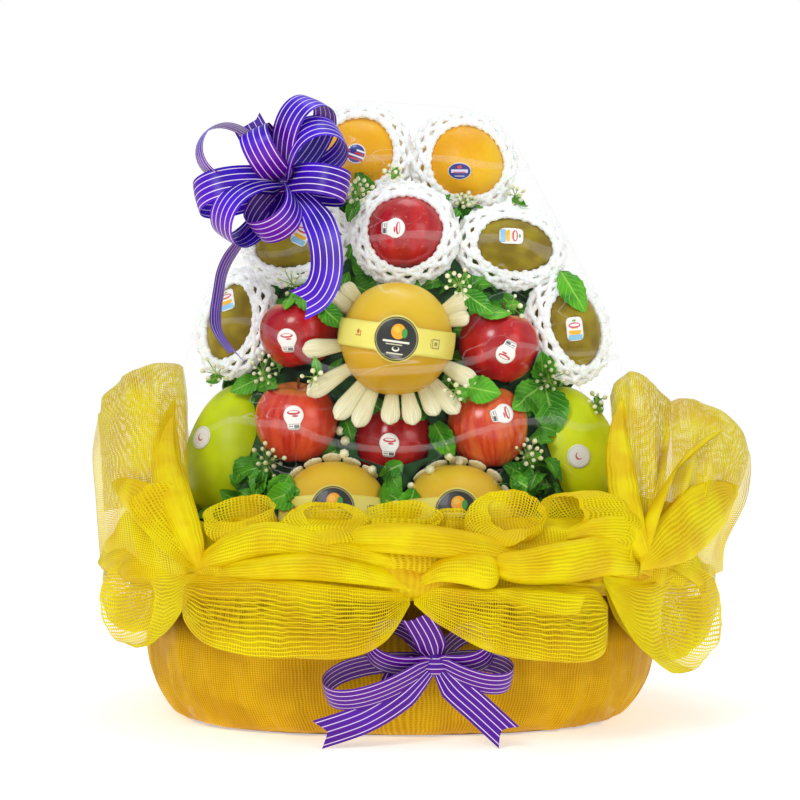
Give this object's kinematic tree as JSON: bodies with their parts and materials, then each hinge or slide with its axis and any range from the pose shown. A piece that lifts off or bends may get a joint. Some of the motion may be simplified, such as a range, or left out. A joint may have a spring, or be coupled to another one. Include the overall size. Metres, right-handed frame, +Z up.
{
  "type": "offering fruit basket",
  "caption": "Oval tub wrapped in gathered net, heaped high with fruit in foam sleeves among leaves, under clear film, with ribbon bows.",
  "frame": {"origin": "middle of the tub's flat underside", "axes": "+Z up, +X to the right seen from the shown front, -Y out of the shown front"},
  "size_m": [0.609, 0.4706, 0.5588],
  "materials": {
    "orange_skin": "waxy pitted orange peel",
    "apple_skin": "glossy deep red apple skin, flecked",
    "pear_skin": "golden brown russet skin",
    "kiwi_skin": "golden olive brown, finely rough",
    "melon_skin": "lime yellow rind",
    "foam_sleeve": "white open foam lattice",
    "petal_foam": "thin cream foam",
    "paper_band": "printed coated paper",
    "leaf_green": "green leaves and pale buds",
    "yellow_net": "open woven yellow net",
    "purple_ribbon": "satin ribbon with thin white stripes",
    "rattan": "plain woven tub, hidden by the net",
    "clear_film": "thin crackling clear film"
  },
  "bodies": {
    "root": {"orange_left": "orange_skin", "orange_right": "orange_skin", "apple_sleeved": "apple_skin", "apple_upper_left": "apple_skin", "apple_upper_right": "apple_skin", "apple_lower_left": "apple_skin", "apple_lower_middle": "apple_skin", "apple_lower_right": "apple_skin", "back_apple_top": "apple_skin", "back_apple_upper_left": "apple_skin", "back_apple_upper_right": "apple_skin", "back_apple_lower_left": "apple_skin", "back_apple_lower_right": "apple_skin", "kiwi_upper_left": "kiwi_skin", "kiwi_upper_right": "kiwi_skin", "kiwi_lower_left": "kiwi_skin", "kiwi_lower_right": "kiwi_skin", "pear_middle": "pear_skin", "pear_low_left": "pear_skin", "pear_low_right": "pear_skin", "back_pear": "pear_skin", "back_pear_low_left": "pear_skin", "back_pear_low_right": "pear_skin", "melon_left": "melon_skin", "melon_right": "melon_skin", "sleeve_orange_left": "foam_sleeve", "sleeve_orange_right": "foam_sleeve", "sleeve_apple_sleeved": "foam_sleeve", "sleeve_kiwi_upper_left": "foam_sleeve", "sleeve_kiwi_upper_right": "foam_sleeve", "sleeve_kiwi_lower_left": "foam_sleeve", "sleeve_kiwi_lower_right": "foam_sleeve", "tub": "rattan", "leaf_bed": "leaf_green", "petals_middle": "petal_foam", "petals_low_left": "petal_foam", "petals_low_right": "petal_foam", "band_pear_middle": "paper_band", "band_pear_low_left": "paper_band", "band_pear_low_right": "paper_band", "spray_left": "leaf_green", "spray_left_low": "leaf_green", "spray_right": "leaf_green", "spray_right_low": "leaf_green", "spray_upper_right": "leaf_green", "spray_upper_left": "leaf_green", "spray_top_left": "leaf_green", "net_skirt": "yellow_net", "net_collar": "yellow_net", "net_loop_front_left": "yellow_net", "net_loop_front_right": "yellow_net", "net_loop_side_left": "yellow_net", "net_loop_side_right": "yellow_net", "net_loop_back": "yellow_net", "net_wing_left": "yellow_net", "net_wing_right": "yellow_net", "bow_top": "purple_ribbon", "bow_front": "purple_ribbon", "film_wrap": "clear_film"}
  },
  "joints": []
}
